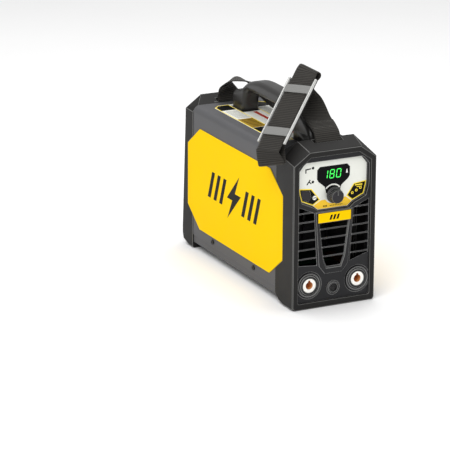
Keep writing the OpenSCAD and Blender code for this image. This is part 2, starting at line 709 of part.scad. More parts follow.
module switch_rocker() color(black) from_front() translate([switch_x, rocker_y, switch_z])
  rotate([0, 0, rocker_rest]) {
    difference() {
      box(-10.2, 10.2, -4, 7, -8, 8);
      translate([0, 19, 0]) cylinder(r = 15.5, h = 40, center = true);
    }
    cylinder(r = rocker_pin_r, h = 19.2, center = true);
  }

module cable_gland() color(black) from_front() difference() {
  union() {
    rod_y(gland_x, gland_z, 9.9, rear_plate_y0 - 8, rear_plate_y1 + 1);
    translate([gland_x, rear_plate_y1 + 5, gland_z]) rotate([90, 0, 0])
      cylinder(r = 14, h = 5, $fn = 6);
    rod_y(gland_x, gland_z, 10.5, rear_plate_y1 + 4, rear_plate_y1 + 17);
    translate([gland_x, rear_plate_y0, gland_z]) rotate([90, 0, 0])
      cylinder(r = 13.5, h = 4, $fn = 6);
  }
  rod_y(gland_x, gland_z, cable_r + 0.05, 0, 500);
}

// Stadium shaped turn at a fraction of one loop
function stadium(t) = let(a = 360 * t)
  [hank_w * sin(a), hank_h * cos(a) + (cos(a) > 0 ? 22 : -22) * min(1, abs(cos(a)) * 3)];

// Mains lead: out of the gland, down, round the hank and in to the plug in its middle
lead_out = [for (s = [0:0.2:1]) [gland_x, rear_plate_y0 - 20 + s * 42, gland_z]];
lead_bend = [for (a = [20:20:90]) [gland_x - 16.8 * (1 - cos(a)),
  rear_plate_y0 + 22 + 12.6 * sin(a), gland_z - 24 * (1 - cos(a))]];
lead_coil = [for (i = [1:hank_turns * 16]) let(t = i / 16, s = stadium(t))
  [hank_x + s[0], hank_y + hank_pitch * t, hank_z + s[1]]];
lead_tip = [hank_x, hank_y + hank_pitch * hank_turns - 6, plug_z - 4];
lead_end = [for (s = [0:0.2:1]) let(a = 120 * (1 - s)) [hank_x - plug_bend_r * (1 - cos(a)),
  hank_y + hank_pitch * hank_turns - 6 * s, plug_z + plug_bend_r * sin(a)]];
lead_path = concat(lead_out, lead_bend, lead_coil, lead_end, [lead_tip]);

function unit(v) = v / norm(v);
function tangent(p, i) = unit(p[min(i + 1, len(p) - 1)] - p[max(i - 1, 0)]);

// Round cable along a path of points
module cable(p, r, sides) {
  n = len(p);
  // Never parallel to the lead, so the rings don't flip
  steady = [0.3, 1, 0.3];
  points = [for (i = [0:n - 1]) let(t = tangent(p, i), a = unit(cross(steady, t)), b = cross(t, a))
    for (k = [0:sides - 1]) p[i] + r * (cos(360 * k / sides) * a + sin(360 * k / sides) * b)];
  side_faces = [for (i = [0:n - 2], k = [0:sides - 1])
    [i * sides + k, (i + 1) * sides + k, (i + 1) * sides + (k + 1) % sides, i * sides + (k + 1) % sides]];
  caps = [[for (k = [0:sides - 1]) k], [for (k = [sides - 1:-1:0]) (n - 1) * sides + k]];
  polyhedron(points = points, faces = concat(side_faces, caps), convexity = 6);
}

module mains_cable() color(black) from_front() cable(lead_path, cable_r, 10);

module mains_plug() color(black) from_front() translate([lead_tip[0], lead_tip[1], lead_tip[2] - 0.1])
  mirror([0, 0, 1]) {
    cylinder(r1 = 7, r2 = 9.5, h = 16);
    translate([0, 0, 16 - eps]) cylinder(r = 17, h = 20);
    for (x = [-9.5, 9.5]) translate([x, 0, 36 - eps]) cylinder(r = 2.4, h = 19);
  }

module cable_tie() color(black) from_front() difference() {
  box(hank_x - hank_w - 6.7, hank_x - hank_w + 6.7, hank_y - 1, hank_y + 35, hank_z - 9, hank_z + 9);
  box(hank_x - hank_w - 5.2, hank_x - hank_w + 5.2, hank_y + 0.6, hank_y + 33.4, hank_z - 19,
    hank_z + 19);
}

// ---------- shoulder strap ----------
// Straight run under the shoulder pad: its direction, width direction and outward direction
run_dir = unit([0.6361, 0.3607, 0.682]);
run_side = unit([0.413, -0.9059, 0.094]);
run_up = cross(run_side, run_dir);
run_start = [-118.5, 33.5, body_h - 18];
function on_run(s) = run_start + s * run_dir;

// The top fold lies askew across the run
top_skew = 0.32;
top_side = unit(run_side - top_skew * run_dir);
top_dir = unit(run_dir + top_skew * run_side);

// The low end hangs steeper than the run: its fold, width direction, heading and outward direction
low_fold = [-103, 31, body_h - 16];
low_side = unit([0.615, -0.757, 0.22]);
low_dir = unit([-0.196, -0.416, -0.881]);
low_up = cross(low_dir, low_side);

// Stations of a fold of radius r back under the strap: each a centre and a width direction
function fold(place, heading, outward, side, r) = [for (a = [0:45:180])
  [place + r * sin(a) * heading + r * (cos(a) - 1) * outward, side]];
function reversed(list) = [for (i = [len(list) - 1:-1:0]) list[i]];

// Each station is a centre and a width direction, from the rear pin to the front pin
strap_stations = concat([
  [[0, rear_pin[0] + 0.5, rear_pin[1] + strap_pin_r + 1.4], [1, 0, 0]],
  [[-3, body_l - 17, body_h + 4], [0.95, 0.3, 0]],
  [[-7, body_l - 19, body_h + 16], [0.8, 0.6, -0.05]],
  [[0, body_l - 25, body_h + 26], [0.55, 0.83, -0.1]],
  [[10, body_l - 37, body_h + 29], [0.4, 0.9, -0.1]],
  [[22, body_l - 53, body_h + 25], [0.3, 0.9, -0.3]],
  [[31, body_l - 73, body_h + 19], [0.25, 0.6, -0.75]],
  [[36, body_l - 98, body_h + 15], [0.1, 0.2, -1]],
  [[37, 270, body_h + 14.5], [0, 0, -1]],
  [[37, 215, body_h + 18], [0, 0, -1]],
  [[37, 185, body_h + 32], [-0.2, -0.45, -0.85]],
  [[28, 158, handle_top - 1], [-0.35, -0.9, -0.3]],
  [[4, 140, handle_top + 5], [-0.05, -1, -0.1]],
  [[-20, 132, handle_top - 2], [0.15, -1, -0.1]],
  [[-42, 112, body_h + 28], [0.4, -0.9, 0]],
  [[-62, 88, body_h + 10], [0.55, -0.82, 0.1]],
  [[-86, 60, body_h - 1], low_side]],
  reversed(fold(low_fold, low_dir, low_up, low_side, low_fold_r)),
  [for (s = [24, 28, 70, 130, 174]) [on_run(s), run_side]],
  fold(on_run(186), top_dir, run_up, top_side, high_fold_r), [
  [on_run(168) - 13 * run_up - 5 * run_side, top_side],
  [[2, 96, body_h + 63], [0.6, -0.8, 0]],
  [[3, 76, body_h + 38], [0.9, -0.4, 0]],
  [[3, 47, body_h + 23], [1, 0, 0]],
  [[2.5, 37, body_h + 16], [1, 0, 0]],
  [[2, front_pin[0] + 0.5, front_pin[1] + strap_pin_r + 1.6], [1, 0, 0]]]);

function spline(a, b, c, d, t) = 0.5 * ((2 * b) + (c - a) * t + (2 * a - 5 * b + 4 * c - d) * t * t
  + (3 * b - a - 3 * c + d) * t * t * t);
function station(i) = strap_stations[min(max(i, 0), len(strap_stations) - 1)];
strap_line = [for (i = [0:len(strap_stations) - 2]) for (s = [0:strap_steps - 1])
  spline(station(i - 1), station(i), station(i + 1), station(i + 2), s / strap_steps),
  station(len(strap_stations) - 1)];

// Flat webbing along a line of stations
module webbing(line, w, t) {
  centres = [for (s = line) s[0]];
  n = len(line);
  points = [for (i = [0:n - 1]) let(side = unit(line[i][1]), up = unit(cross(tangent(centres, i), side)))
    each [centres[i] - side * w / 2 - up * t / 2, centres[i] + side * w / 2 - up * t / 2,
      centres[i] + side * w / 2 + up * t / 2, centres[i] - side * w / 2 + up * t / 2]];
  faces = [for (i = [0:n - 2]) for (k = [0:3])
    each [[i * 4 + k, (i + 1) * 4 + k, i * 4 + (k + 1) % 4],
      [(i + 1) * 4 + k, (i + 1) * 4 + (k + 1) % 4, i * 4 + (k + 1) % 4]]];
  caps = [[0, 1, 2], [0, 2, 3], [(n - 1) * 4 + 2, (n - 1) * 4 + 1, (n - 1) * 4],
    [(n - 1) * 4 + 3, (n - 1) * 4 + 2, (n - 1) * 4]];
  polyhedron(points = points, faces = concat(faces, caps), convexity = 10);
}

module shoulder_strap() color(black) from_front() {
  webbing(strap_line, strap_w, strap_t);
  for (p = [front_pin, rear_pin]) difference() {
    rod_x(p[0], p[1], strap_pin_r + 2, -strap_w / 2, strap_w / 2);
    rod_x(p[0], p[1], strap_pin_r + 0.2, -half_w, half_w);
  }
}

// Shoulder pad: a base under the webbing, raised edges and two bridges over it

// Places a shape with X along the strap, Y across it and Z up from its face
module on_strap(s) multmatrix([
  [run_dir[0], -run_side[0], run_up[0], on_run(s)[0]],
  [run_dir[1], -run_side[1], run_up[1], on_run(s)[1]],
  [run_dir[2], -run_side[2], run_up[2], on_run(s)[2]],
  [0, 0, 0, 1]]) children();

module shoulder_pad() color([0.45, 0.45, 0.45]) from_front() on_strap(pad_s) {
  low = -strap_t / 2 - pad_gap;
  high = strap_t / 2 + pad_gap;
  edge = (pad_w - strap_w) / 2 - 0.6;
  box(0, pad_l, -pad_w / 2, pad_w / 2, low - pad_t, low);
  for (m = [0, 1]) mirror([0, m, 0]) box(0, pad_l, pad_w / 2 - edge, pad_w / 2, low - eps, high + 1);
  for (x = [bridge_in, pad_l - bridge_in]) box(x - bridge_l / 2, x + bridge_l / 2, -pad_w / 2,
    pad_w / 2, high, high + bridge_t);
}

base_tray();
top_cover();
front_bezel();
rear_bezel();
front_panel();
rear_panel();
side_plate_left();
side_plate_right();
handle();
handle_screws();
cover_screws();
rear_panel_screws();
front_panel_screws();
top_label();
control_overlay();
display_window();
display_module();
current_knob();
encoder_shaft();
encoder_body();
encoder_nut();
mode_button();
mode_switch();
control_board();
board_screws();
badge_plate();
socket_insulator_left();
socket_insulator_right();
socket_contact_left();
socket_contact_right();
socket_nuts();
remote_connector();
remote_insert();
remote_nut();
power_board();
board_standoffs();
heatsinks();
power_transistors();
output_diodes();
bridge_rectifier();
input_capacitors();
transformer_core();
transformer_windings();
output_choke();
output_busbars();
fan_frame();
fan_rotor();
fan_screws();
power_switch();
switch_rocker();
cable_gland();
mains_cable();
mains_plug();
cable_tie();
strap_pins();
shoulder_strap();
shoulder_pad();
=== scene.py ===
import json
import math

import bmesh
import bpy
from mathutils import Matrix, Vector
from mathutils.geometry import tessellate_polygon


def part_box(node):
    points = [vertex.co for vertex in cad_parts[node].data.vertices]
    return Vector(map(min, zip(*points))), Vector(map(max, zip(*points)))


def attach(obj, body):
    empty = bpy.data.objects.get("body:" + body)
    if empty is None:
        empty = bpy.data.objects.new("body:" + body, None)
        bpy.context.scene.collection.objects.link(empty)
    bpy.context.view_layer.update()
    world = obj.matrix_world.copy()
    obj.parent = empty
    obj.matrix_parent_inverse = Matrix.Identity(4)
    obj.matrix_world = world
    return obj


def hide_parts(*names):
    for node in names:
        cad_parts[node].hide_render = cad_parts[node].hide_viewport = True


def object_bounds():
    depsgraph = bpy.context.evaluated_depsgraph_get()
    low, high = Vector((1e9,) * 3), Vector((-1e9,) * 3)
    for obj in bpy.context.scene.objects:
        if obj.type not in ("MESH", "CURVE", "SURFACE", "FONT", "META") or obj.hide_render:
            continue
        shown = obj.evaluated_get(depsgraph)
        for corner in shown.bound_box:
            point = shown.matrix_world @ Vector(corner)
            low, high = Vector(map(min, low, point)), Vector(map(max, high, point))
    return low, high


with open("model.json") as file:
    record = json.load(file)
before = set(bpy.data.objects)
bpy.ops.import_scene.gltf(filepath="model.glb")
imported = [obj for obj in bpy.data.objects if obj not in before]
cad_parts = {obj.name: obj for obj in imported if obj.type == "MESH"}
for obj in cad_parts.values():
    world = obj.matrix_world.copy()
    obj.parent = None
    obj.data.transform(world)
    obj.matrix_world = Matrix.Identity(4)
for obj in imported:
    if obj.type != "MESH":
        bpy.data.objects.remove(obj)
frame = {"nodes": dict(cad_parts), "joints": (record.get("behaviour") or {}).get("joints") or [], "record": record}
cad_low, cad_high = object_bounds()

# Lengths below are in millimetres: x to the right, depth back from the front rim, z up from
# the ground. at() turns them into the frame's metres.
MM = 0.001
front_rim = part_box("front_bezel")[0].y


def at(x, depth, z):
    return Vector((x * MM, front_rim + depth * MM, z * MM))


def front_of(name):
    """Depth of a CAD node's front."""
    return (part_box(name)[0].y - front_rim) / MM


def back_of(name):
    """Depth of a CAD node's back."""
    return (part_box(name)[1].y - front_rim) / MM


rear_plate_recess = 5.5
body_l = back_of("rear_panel") + rear_plate_recess
body_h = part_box("rear_bezel")[1].z / MM
handle_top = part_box("handle")[1].z / MM
handle_half_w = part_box("handle")[1].x / MM
handle_end = back_of("handle")
cover_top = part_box("top_cover")[1].z / MM
label_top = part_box("top_label")[1].z / MM
label_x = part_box("top_label")[1].x / MM
label_front = front_of("top_label")
label_rear = back_of("top_label")
plate_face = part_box("side_plate_right")[1].x / MM
overlay_depth = front_of("control_overlay")
window_depth = front_of("display_window")
badge_depth = front_of("badge_plate")
knob_z = (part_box("current_knob")[0].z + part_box("current_knob")[1].z) / 2 / MM

# Heights of print: its underside, and its face on a surface, on other print and on that again
ink_under = 0.005
ink = 0.05
raised_ink = 0.09
top_ink = 0.12

# Ribs across the webbing, shared by its shape and its finish, and yarns along it
rib_pitch = 3.3
rib_height = 0.2
yarn_pitch = 1.6


# ---------- materials ----------
def grey_or_colour(red, green, blue):
    """Linear colour from the 0-255 values a screen shows."""
    def linear(value):
        value /= 255
        return value / 12.92 if value <= 0.04045 else ((value + 0.055) / 1.055) ** 2.4
    return (linear(red), linear(green), linear(blue), 1)


class Shader:
    """One node material, built a node at a time."""

    def __init__(self, name):
        self.material = bpy.data.materials.new(name)
        self.material.use_nodes = True
        self.tree = self.material.node_tree
        self.surface = self.tree.nodes["Principled BSDF"]
        self.place = self.add("ShaderNodeTexCoord").outputs["Object"]

    def add(self, kind, settings=None, **inputs):
        made = self.tree.nodes.new(kind)
        for key, value in (settings or {}).items():
            setattr(made, key, value)
        for key, value in inputs.items():
            self.feed(made.inputs[key.replace("_", " ")], value)
        return made

    def feed(self, socket, value):
        if isinstance(value, bpy.types.NodeSocket):
            self.tree.links.new(value, socket)
        else:
            socket.default_value = value

    def math(self, operation, a, b=0.0):
        made = self.tree.nodes.new("ShaderNodeMath")
        made.operation = operation
        self.feed(made.inputs[0], a)
        self.feed(made.inputs[1], b)
        return made.outputs[0]

    def noise(self, scale, detail=2.0, vector=None):
        return self.add("ShaderNodeTexNoise", Scale=scale, Detail=detail,
                        Vector=vector or self.place).outputs["Fac"]

    def ramp(self, value, low, high, to_low=0.0, to_high=1.0):
        made = self.add("ShaderNodeMapRange", Value=value)
        for key, number in (("From Min", low), ("From Max", high), ("To Min", to_low),
                            ("To Max", to_high)):
            self.feed(made.inputs[key], number)
        return made.outputs["Result"]

    def blend(self, share, a, b):
        made = self.tree.nodes.new("ShaderNodeMix")
        made.data_type = "RGBA"
        self.feed(made.inputs["Factor"], share)
        self.feed(made.inputs["A"], a)
        self.feed(made.inputs["B"], b)
        return made.outputs["Result"]

    def finish(self, **inputs):
        for key, value in inputs.items():
            self.feed(self.surface.inputs[key.replace("_", " ")], value)
        return self.material


cloud_scale = 22
patch_scale = 160


def tinted(colour, factor):
    return tuple(min(1, c * factor) for c in colour[:3]) + (1,)


def moulded(name, colour, roughness, grain=1400, grain_depth=0.03, mottle=0.12, edge_highlight=None,
            round_edge=0.7, metal=0.0, edge_highlight_share=0.8, specular=0.5):
    """A finish with cloudy colour, fine grain, rounded edges and a painted highlight on its edges.

    An edge is where the rounded normal leaves the flat one, and its painted highlight is patchy.
    """
    shader = Shader(name)
    cloud = shader.noise(cloud_scale, 3)
    fine = shader.noise(grain, 2)
    body = shader.blend(cloud, tinted(colour, 1 - mottle), tinted(colour, 1 + mottle))
    rounded = shader.add("ShaderNodeBevel", {"samples": 4}, Radius=round_edge * MM).outputs[0]
    flat = shader.add("ShaderNodeNewGeometry").outputs["Normal"]
    facing = shader.add("ShaderNodeVectorMath", {"operation": "DOT_PRODUCT"})
    shader.feed(facing.inputs[0], rounded)
    shader.feed(facing.inputs[1], flat)
    # Painted highlight: along edges the colour is mixed towards a lighter edge colour, in patches.
    edge = shader.ramp(facing.outputs["Value"], 0.99, 0.86)
    patchy = shader.ramp(shader.noise(patch_scale, 3), 0.3, 0.6, 0.45, 1)
    edge = shader.math("MULTIPLY", shader.math("MULTIPLY", edge, patchy), edge_highlight_share)
    body = shader.blend(edge, body, edge_highlight or tinted(colour, 2.2))
    bump = shader.add("ShaderNodeBump", Height=fine, Strength=0.6, Distance=grain_depth * MM,
                      Normal=rounded).outputs[0]
    rough = shader.ramp(cloud, 0.2, 0.8, roughness - 0.05, roughness + 0.06)
    return shader.finish(Base_Color=body, Roughness=rough, Metallic=metal, Normal=bump,
                         Specular_IOR_Level=specular)


def webbing_finish():
    """Woven strap: strong ribs across it, yarns along it, from metre UVs, painted shade between ribs."""
    shader = Shader("webbing")
    uv = shader.add("ShaderNodeSeparateXYZ",
                    Vector=shader.add("ShaderNodeTexCoord").outputs["UV"])
    across, along = uv.outputs["X"], uv.outputs["Y"]
    turn = 2 * math.pi
    ribs = shader.math("COSINE", shader.math("MULTIPLY", along, turn / (rib_pitch * MM)))
    yarns = shader.math("SINE", shader.math("MULTIPLY", across, turn / (yarn_pitch * MM)))
    weave = shader.math("ADD", shader.math("MULTIPLY", ribs, 0.38),
                        shader.math("MULTIPLY", yarns, 0.12))
    weave = shader.math("ADD", weave, 0.5)
    cloud = shader.noise(35, 3)
    thread = grey_or_colour(44, 42, 39)
    # Painted shade and highlight: dark in the valleys between ribs and light on their crests, in step with the
    # real ribs.
    body = shader.blend(weave, tinted(thread, 0.2), tinted(thread, 1.9))
    body = shader.blend(shader.ramp(cloud, 0.35, 0.75, 0, 0.3), body, tinted(thread, 1.6))
    fuzz = shader.math("ADD", weave, shader.math("MULTIPLY", shader.noise(2600, 2), 0.5))
    bump = shader.add("ShaderNodeBump", Height=fuzz, Strength=0.8, Distance=0.12 * MM).outputs[0]
    return shader.finish(Base_Color=body, Roughness=0.82, Normal=bump, Sheen_Weight=0.15,
                         Sheen_Roughness=0.4, Specular_IOR_Level=0.2)


def glowing(name, colour, strength):
    """Lit display segments, a little uneven."""
    shader = Shader(name)
    cloud = shader.noise(420, 1)
    body = shader.blend(cloud, tinted(colour, 0.85), colour)
    return shader.finish(Base_Color=body, Emission_Color=body, Emission_Strength=strength,
                         Roughness=0.5)


def socket_contact_finish(face_depth):
    """Nickel plated front face, brass inside the bore."""
    shader = Shader("socket_contact")
    depth = shader.add("ShaderNodeSeparateXYZ", Vector=shader.place).outputs["Y"]
    inside = shader.ramp(depth, front_rim + (face_depth + 0.15) * MM,
                         front_rim + (face_depth + 0.7) * MM)
    turned = shader.noise(900, 3)
    nickel = shader.blend(turned, (0.92, 0.9, 0.84, 1), (1.0, 0.98, 0.93, 1))
    brass = shader.blend(turned, (0.6, 0.25, 0.08, 1), (0.95, 0.5, 0.2, 1))
    body = shader.blend(inside, nickel, brass)
    metal = shader.ramp(inside, 0, 1, 0.35, 0.2)
    bump = shader.add("ShaderNodeBump", Height=turned, Strength=0.4, Distance=0.02 * MM).outputs[0]
    return shader.finish(Base_Color=body, Metallic=metal, Roughness=0.32, Normal=bump)


plastic = moulded("frame_plastic", grey_or_colour(27, 26, 25), 0.55, grain_depth=0.05,
                  round_edge=1.3, edge_highlight=grey_or_colour(130, 130, 126), edge_highlight_share=0.6, specular=0.22)
# Lighter finishes for the faces that soften() rounds: a painted highlight along the edges.
plastic_edge_highlight = moulded("frame_edge_highlight", grey_or_colour(92, 92, 90), 0.4, grain_depth=0.03,
                       specular=0.5)
paint = moulded("case_paint", grey_or_colour(84, 84, 86), 0.5, grain=900, grain_depth=0.05,
                round_edge=0.9, specular=0.25)
panel = moulded("panel_plastic", grey_or_colour(28, 28, 30), 0.5, round_edge=1.0,
                edge_highlight=grey_or_colour(110, 110, 108), edge_highlight_share=0.4, specular=0.25)
panel_edge_highlight = moulded("panel_edge_highlight", grey_or_colour(118, 118, 117), 0.4, grain_depth=0.03,
                     specular=0.5)
yellow = moulded("plate_yellow", grey_or_colour(250, 203, 0), 0.6, grain_depth=0.01, mottle=0.015,
                 round_edge=1.2, edge_highlight=grey_or_colour(255, 230, 90), edge_highlight_share=0.5, specular=0.04)
film = moulded("overlay_film", grey_or_colour(230, 231, 223), 0.38, grain_depth=0.008, mottle=0.02,
               round_edge=0.3, edge_highlight=(0.95, 0.95, 0.93, 1))
lens = moulded("display_lens", grey_or_colour(6, 5, 8), 0.16, grain_depth=0.0, mottle=0.2,
               round_edge=0.4, specular=0.08)
knob_black = moulded("knob_plastic", grey_or_colour(34, 32, 36), 0.45, round_edge=0.9,
                     edge_highlight=grey_or_colour(110, 108, 112), specular=0.3)
grip = moulded("handle_plastic", grey_or_colour(42, 41, 40), 0.32, grain_depth=0.05, round_edge=0.8,
               specular=0.45)
steel = moulded("screw_steel", (0.55, 0.55, 0.56, 1), 0.32, metal=1.0, round_edge=0.3, grain=500,
                edge_highlight=(0.8, 0.8, 0.8, 1))
black_screw = moulded("screw_black", grey_or_colour(12, 12, 13), 0.42, round_edge=0.4,
                      edge_highlight=grey_or_colour(70, 70, 70), specular=0.3)
# Painted shade: the board, heatsinks and capacitor sleeves are made darker than their own colours so the inside
# seen through the vents stays dark.
board = moulded("circuit_board", (0.003, 0.022, 0.009, 1), 0.5, grain=700, mottle=0.25,
                round_edge=0.2, specular=0.2)
block = moulded("display_block", (0.02, 0.03, 0.02, 1), 0.5)
socket_black = moulded("socket_black", grey_or_colour(14, 14, 15), 0.4, round_edge=0.6,
                       edge_highlight=grey_or_colour(120, 118, 114), edge_highlight_share=0.8, specular=0.35)
aluminium = moulded("heatsink_aluminium", (0.03, 0.03, 0.032, 1), 0.45, grain=400,
                    round_edge=0.3, specular=0.3)
sleeve = moulded("capacitor_sleeve", (0.008, 0.009, 0.015, 1), 0.45, round_edge=0.6, specular=0.3)
ferrite = moulded("ferrite", (0.03, 0.03, 0.033, 1), 0.7, grain=500, grain_depth=0.08)
copper = moulded("copper_wire", (0.22, 0.07, 0.025, 1), 0.45, metal=1.0, grain=600,
                 grain_depth=0.08)
rubber = moulded("cable_rubber", grey_or_colour(30, 30, 31), 0.55, grain_depth=0.05, specular=0.25)
pad_grey = moulded("pad_rubber", grey_or_colour(122, 122, 120), 0.5, grain_depth=0.06, mottle=0.08,
                   edge_highlight=grey_or_colour(205, 205, 202), specular=0.3)
# Painted highlight: the rails are light grey to stand for the highlights on the pad's raised rims.
pad_rail_highlight = moulded("pad_rail_painted_highlight", grey_or_colour(205, 205, 202), 0.42, grain_depth=0.03, mottle=0.05,
                    edge_highlight=grey_or_colour(240, 240, 236))
pad_dark = moulded("pad_base", grey_or_colour(30, 30, 30), 0.7, grain_depth=0.1)
webbing = webbing_finish()
thread = moulded("thread", grey_or_colour(84, 82, 78), 0.7, grain=2500, grain_depth=0.05)
black_ink = moulded("ink_black", grey_or_colour(10, 10, 10), 0.5, grain_depth=0.0, round_edge=0.1,
                    specular=0.1)
yellow_ink = moulded("ink_yellow", grey_or_colour(252, 222, 40), 0.4, grain_depth=0.0,
                     mottle=0.02, round_edge=0.1)
orange_ink = moulded("ink_orange", grey_or_colour(248, 200, 14), 0.4, grain_depth=0.0,
                     mottle=0.06, round_edge=0.1)
white_ink = moulded("ink_white", grey_or_colour(238, 238, 232), 0.4, grain_depth=0.0,
                    mottle=0.02, round_edge=0.1)
grey_ink = moulded("ink_grey", grey_or_colour(120, 120, 116), 0.45, grain_depth=0.0, round_edge=0.1)
ochre_ink = moulded("ink_ochre", grey_or_colour(150, 118, 14), 0.45, grain_depth=0.0,
                    mottle=0.1, round_edge=0.1)
red_ink = moulded("ink_red", grey_or_colour(176, 52, 30), 0.45, grain_depth=0.0, round_edge=0.1)
green_light = glowing("lit_segments", (0.04, 0.8, 0.09, 1), 0.9)
contact = socket_contact_finish(front_of("socket_contact_left"))

slot_finish = {
    "frame_plastic": plastic, "case_paint": paint, "panel_plastic": panel, "plate_yellow": yellow,
    "overlay_film": film, "display_lens": lens, "display_block": block, "screw_steel": steel,
    "screw_black": black_screw, "circuit_board": board, "socket_black": socket_black,
    "socket_brass": contact, "heatsink_aluminium": aluminium, "capacitor_sleeve": sleeve,
    "ferrite": ferrite, "copper_wire": copper, "cable_rubber": rubber, "webbing": webbing,
    "pad_rubber": pad_grey}


def paint_node(name, material):
    mesh = frame["nodes"][name].data
    mesh.materials.clear()
    mesh.materials.append(material)


for row in frame["record"]["subparts"]:
    paint_node(row["node"], slot_finish[row["material_slot"]])
paint_node("current_knob", knob_black)
paint_node("mode_button", knob_black)


# ---------- shapes ----------
def add_piece(name, points, faces, material, body="case", smooth=False):
    mesh = bpy.data.meshes.new(name)
    mesh.from_pydata(points, [], faces)
    edit = bmesh.new()
    edit.from_mesh(mesh)
    bmesh.ops.recalc_face_normals(edit, faces=edit.faces)
    edit.to_mesh(mesh)
    edit.free()
    mesh.materials.append(material)
    for face in mesh.polygons:
        face.use_smooth = smooth
    piece = bpy.data.objects.new(name, mesh)
    bpy.context.scene.collection.objects.link(piece)
    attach(piece, body)
    return piece


def soften(piece, width, segments=2, angle=30, welded=False, edge=None):
    """Rounds a piece's sharp edges with real geometry, with a painted highlight in a lighter finish if one is
    given.
    """
    if welded:
        piece.modifiers.new("weld", "WELD").merge_threshold = 0.002 * MM
        flatten = piece.modifiers.new("flatten", "DECIMATE")
        flatten.decimate_type = "DISSOLVE"
        flatten.angle_limit = math.radians(0.5)
    bevel = piece.modifiers.new("round", "BEVEL")
    bevel.width = width * MM
    bevel.segments = segments
    bevel.limit_method = "ANGLE"
    bevel.angle_limit = math.radians(angle)
    bevel.use_clamp_overlap = False
    if edge:
        piece.data.materials.append(edge)
        bevel.material = 1
    for face in piece.data.polygons:
        face.use_smooth = True
    shade = piece.modifiers.new("shade", "WEIGHTED_NORMAL")
    shade.keep_sharp = True
    return piece


def inset(outline, gap):
    """The outline moved inwards by gap, with mitred corners. Outlines run anticlockwise."""
    moved = []
    for i, corner in enumerate(outline):
        here = Vector(corner)
        before = (here - Vector(outline[i - 1])).normalized()
        after = (Vector(outline[(i + 1) % len(outline)]) - here).normalized()
        left = Vector((-before.y, before.x))
        right = Vector((-after.y, after.x))
        moved.append(here + (left + right) * gap / max(0.3, 1 + left.dot(right)))
    return [tuple(p) for p in moved]


def area(outline):
    return sum(a[0] * b[1] - b[0] * a[1] for a, b in zip(outline, outline[1:] + outline[:1])) / 2


def anticlockwise(outline):
    return outline if area(outline) > 0 else outline[::-1]


def arc(centre, radius, start, end, steps):
    return [(centre[0] + radius * math.cos(math.radians(start + (end - start) * i / steps)),
             centre[1] + radius * math.sin(math.radians(start + (end - start) * i / steps)))
            for i in range(steps + 1)]


def disc(centre, radius, steps=28):
    return arc(centre, radius, 0, 360, steps)[:-1]


def rectangle(left, low, right, high):
    return [(left, low), (right, low), (right, high), (left, high)]


def rounded(outline, radius, steps=5):
    """The outline with each corner cut by a smooth curve that starts radius from it."""
    result = []
    for i, corner in enumerate(outline):
        here = Vector(corner)
        before, after = Vector(outline[i - 1]), Vector(outline[(i + 1) % len(outline)])
        size = radius[i] if isinstance(radius, list) else radius
        if size == 0:
            result.append(tuple(corner))
            continue
        start = here + (before - here).normalized() * min(size, (before - here).length * 0.49)
        end = here + (after - here).normalized() * min(size, (after - here).length * 0.49)
        for k in range(steps + 1):
            t = k / steps
            result.append(tuple(start * (1 - t) ** 2 + here * 2 * t * (1 - t) + end * t ** 2))
    return result


# Surfaces that print lies on: a point in the surface's plane and a height above it
def on_overlay(x, z, height):
    return at(x, overlay_depth - height, z)


def on_window(x, z, height):
    return at(x, window_depth - height, z)


def on_badge(x, z, height):
    return at(x, badge_depth - height, z)


def on_left_plate(depth, z, height):
    return at(-plate_face - height, depth, z)


def on_right_plate(depth, z, height):
    return at(plate_face + height, depth, z)


def on_label(x, depth, height):
    return at(x, depth, label_top + height)


def printed(name, outlines, surface, material, body="case", height=ink, holes=()):
    """Thin closed layers of ink on a surface, one for each outline. Holes belong to the first."""
    points, faces = [], []
    for number, outline in enumerate(outlines):
        loops = [anticlockwise(list(outline))]
        if number == 0:
            loops += [anticlockwise(list(hole)) for hole in holes]
        start = len(points)
        flat = [p for loop in loops for p in loop]
        count = len(flat)
        points += [surface(a, b, ink_under) for a, b in flat]
        points += [surface(a, b, height) for a, b in flat]
        if len(loops) == 1:
            caps = [tuple(range(count))]
        else:
            caps = tessellate_polygon([[Vector((a, b, 0)) for a, b in loop] for loop in loops])
        for cap in caps:
            faces.append(tuple(start + i for i in cap))
            faces.append(tuple(start + count + i for i in reversed(cap)))
        first = start
        for loop in loops:
            size = len(loop)
            for i in range(size):
                j = (i + 1) % size
                faces.append((first + i, first + j, first + count + j, first + count + i))
            first += size
    return add_piece(name, points, faces, material, body)


def shifted(outline, dx=0.0, dz=0.0, slant=0.0):
    return [(a + dx + slant * b, b + dz) for a, b in outline]


# ---------- case shells ----------
# The edge finishes given here paint a highlight on the rounded edges.
for name, width, edge in (("front_bezel", 0.6, plastic_edge_highlight), ("rear_bezel", 0.8, plastic_edge_highlight),
                          ("front_panel", 0.45, panel_edge_highlight), ("side_plate_left", 0.35, None),
                          ("side_plate_right", 0.35, None), ("badge_plate", 0.4, None),
                          ("current_knob", 0.45, plastic_edge_highlight), ("mode_button", 0.3, None),
                          ("socket_insulator_left", 0.5, panel_edge_highlight),
                          ("socket_insulator_right", 0.5, panel_edge_highlight),
                          ("remote_connector", 0.4, panel_edge_highlight)):
    soften(frame["nodes"][name], width, welded=True, edge=edge)


